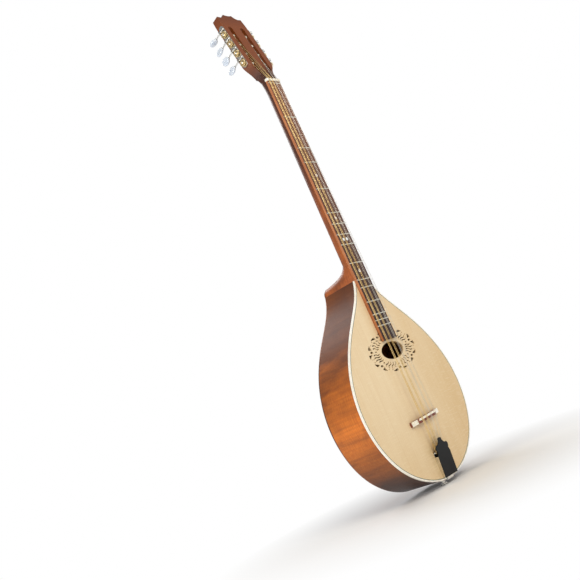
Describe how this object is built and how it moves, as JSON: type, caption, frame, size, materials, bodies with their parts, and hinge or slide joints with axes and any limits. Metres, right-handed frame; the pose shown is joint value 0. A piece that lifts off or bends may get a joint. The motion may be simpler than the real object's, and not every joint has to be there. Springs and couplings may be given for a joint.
{
  "type": "bouzouki",
  "caption": "Flat-backed teardrop bouzouki with an oval pierced sound hole, paired strings over a floating bridge, geared tuners in a slotted headstock and a sliding tailpiece cover.",
  "frame": {"origin": "middle of the strap button's waist, on its axis, below the instrument's tail", "axes": "+Z along the neck towards the headstock, -Y out of the soundboard, +X to the right seen from the front"},
  "size_m": [0.285, 0.0881, 0.9299],
  "materials": {
    "spruce": "satin lacquer",
    "purfling": "satin lacquer",
    "binding": "gloss",
    "maple": "stained, gloss lacquer",
    "inner_wood": "bare",
    "rosewood": "oiled",
    "fret_metal": "polished",
    "pearl": "gloss",
    "bone": "polished",
    "nickel": "polished",
    "wound_bronze": "polished",
    "steel": "polished",
    "black_lacquer": "gloss",
    "button": "pearloid gloss",
    "roller": "gloss",
    "gear_brass": "polished"
  },
  "bodies": {
    "instrument": {"soundboard": "spruce", "purfling": "purfling", "top_binding": "binding", "side_left": "maple", "side_right": "maple", "back_plate": "maple", "linings": "inner_wood", "tail_block": "inner_wood", "soundboard_braces": "inner_wood", "back_braces": "inner_wood", "neck": "maple", "fretboard": "rosewood", "frets": "fret_metal", "position_dots": "pearl", "nut": "bone", "bridge_base": "rosewood", "bridge_saddle": "bone", "tailpiece_base": "nickel", "tailpiece_screws": "nickel", "strap_button": "nickel", "tuner_plate_left": "nickel", "tuner_plate_right": "nickel", "tuner_screws": "nickel", "string_course_1": "wound_bronze", "string_course_2": "wound_bronze", "string_course_3": "steel", "string_course_4": "steel"},
    "tailpiece_cover": {"tailpiece_cover": "black_lacquer"},
    "peg_left_1": {"worm_left_1": "nickel", "button_left_1": "button"},
    "post_left_1": {"roller_left_1": "roller", "gear_left_1": "gear_brass"},
    "peg_left_2": {"worm_left_2": "nickel", "button_left_2": "button"},
    "post_left_2": {"roller_left_2": "roller", "gear_left_2": "gear_brass"},
    "peg_left_3": {"worm_left_3": "nickel", "button_left_3": "button"},
    "post_left_3": {"roller_left_3": "roller", "gear_left_3": "gear_brass"},
    "peg_left_4": {"worm_left_4": "nickel", "button_left_4": "button"},
    "post_left_4": {"roller_left_4": "roller", "gear_left_4": "gear_brass"},
    "peg_right_1": {"worm_right_1": "nickel", "button_right_1": "button"},
    "post_right_1": {"roller_right_1": "roller", "gear_right_1": "gear_brass"},
    "peg_right_2": {"worm_right_2": "nickel", "button_right_2": "button"},
    "post_right_2": {"roller_right_2": "roller", "gear_right_2": "gear_brass"},
    "peg_right_3": {"worm_right_3": "nickel", "button_right_3": "button"},
    "post_right_3": {"roller_right_3": "roller", "gear_right_3": "gear_brass"},
    "peg_right_4": {"worm_right_4": "nickel", "button_right_4": "button"},
    "post_right_4": {"roller_right_4": "roller", "gear_right_4": "gear_brass"}
  },
  "joints": [
    {"name": "slide_cover", "type": "slide", "parent": "instrument", "child": "tailpiece_cover", "axis": [0, -0.1011, 0.9949], "range_m": [0, 0.01]},
    {"name": "turn_button_left_1", "type": "hinge", "parent": "instrument", "child": "peg_left_1", "pos_m": [-0.03635, -0.0026, 0.81585], "axis": [0, -0.9816, 0.1908], "continuous": true},
    {"name": "turn_roller_left_1", "type": "hinge", "parent": "instrument", "child": "post_left_1", "pos_m": [-0.02, -0.00434, 0.80687], "axis": [1, 0, 0], "continuous": true},
    {"name": "turn_button_left_2", "type": "hinge", "parent": "instrument", "child": "peg_left_2", "pos_m": [-0.03635, 0.00189, 0.83891], "axis": [0, -0.9816, 0.1908], "continuous": true},
    {"name": "turn_roller_left_2", "type": "hinge", "parent": "instrument", "child": "post_left_2", "pos_m": [-0.02, 0.00014, 0.82993], "axis": [1, 0, 0], "continuous": true},
    {"name": "turn_button_left_3", "type": "hinge", "parent": "instrument", "child": "peg_left_3", "pos_m": [-0.03635, 0.00637, 0.86198], "axis": [0, -0.9816, 0.1908], "continuous": true},
    {"name": "turn_roller_left_3", "type": "hinge", "parent": "instrument", "child": "post_left_3", "pos_m": [-0.02, 0.00463, 0.853], "axis": [1, 0, 0], "continuous": true},
    {"name": "turn_button_left_4", "type": "hinge", "parent": "instrument", "child": "peg_left_4", "pos_m": [-0.03635, 0.01086, 0.88505], "axis": [0, -0.9816, 0.1908], "continuous": true},
    {"name": "turn_roller_left_4", "type": "hinge", "parent": "instrument", "child": "post_left_4", "pos_m": [-0.02, 0.00911, 0.87607], "axis": [1, 0, 0], "continuous": true},
    {"name": "turn_button_right_1", "type": "hinge", "parent": "instrument", "child": "peg_right_1", "pos_m": [0.03635, -0.0026, 0.81585], "axis": [0, -0.9816, 0.1908], "continuous": true},
    {"name": "turn_roller_right_1", "type": "hinge", "parent": "instrument", "child": "post_right_1", "pos_m": [0.02, -0.00434, 0.80687], "axis": [1, 0, 0], "continuous": true},
    {"name": "turn_button_right_2", "type": "hinge", "parent": "instrument", "child": "peg_right_2", "pos_m": [0.03635, 0.00189, 0.83891], "axis": [0, -0.9816, 0.1908], "continuous": true},
    {"name": "turn_roller_right_2", "type": "hinge", "parent": "instrument", "child": "post_right_2", "pos_m": [0.02, 0.00014, 0.82993], "axis": [1, 0, 0], "continuous": true},
    {"name": "turn_button_right_3", "type": "hinge", "parent": "instrument", "child": "peg_right_3", "pos_m": [0.03635, 0.00637, 0.86198], "axis": [0, -0.9816, 0.1908], "continuous": true},
    {"name": "turn_roller_right_3", "type": "hinge", "parent": "instrument", "child": "post_right_3", "pos_m": [0.02, 0.00463, 0.853], "axis": [1, 0, 0], "continuous": true},
    {"name": "turn_button_right_4", "type": "hinge", "parent": "instrument", "child": "peg_right_4", "pos_m": [0.03635, 0.01086, 0.88505], "axis": [0, -0.9816, 0.1908], "continuous": true},
    {"name": "turn_roller_right_4", "type": "hinge", "parent": "instrument", "child": "post_right_4", "pos_m": [0.02, 0.00911, 0.87607], "axis": [1, 0, 0], "continuous": true}
  ],
  "couplings": [
    {"joint": "turn_roller_left_1", "follows": "turn_button_left_1", "ratio": -0.071429},
    {"joint": "turn_roller_left_2", "follows": "turn_button_left_2", "ratio": -0.071429},
    {"joint": "turn_roller_left_3", "follows": "turn_button_left_3", "ratio": -0.071429},
    {"joint": "turn_roller_left_4", "follows": "turn_button_left_4", "ratio": -0.071429},
    {"joint": "turn_roller_right_1", "follows": "turn_button_right_1", "ratio": -0.071429},
    {"joint": "turn_roller_right_2", "follows": "turn_button_right_2", "ratio": -0.071429},
    {"joint": "turn_roller_right_3", "follows": "turn_button_right_3", "ratio": -0.071429},
    {"joint": "turn_roller_right_4", "follows": "turn_button_right_4", "ratio": -0.071429}
  ]
}
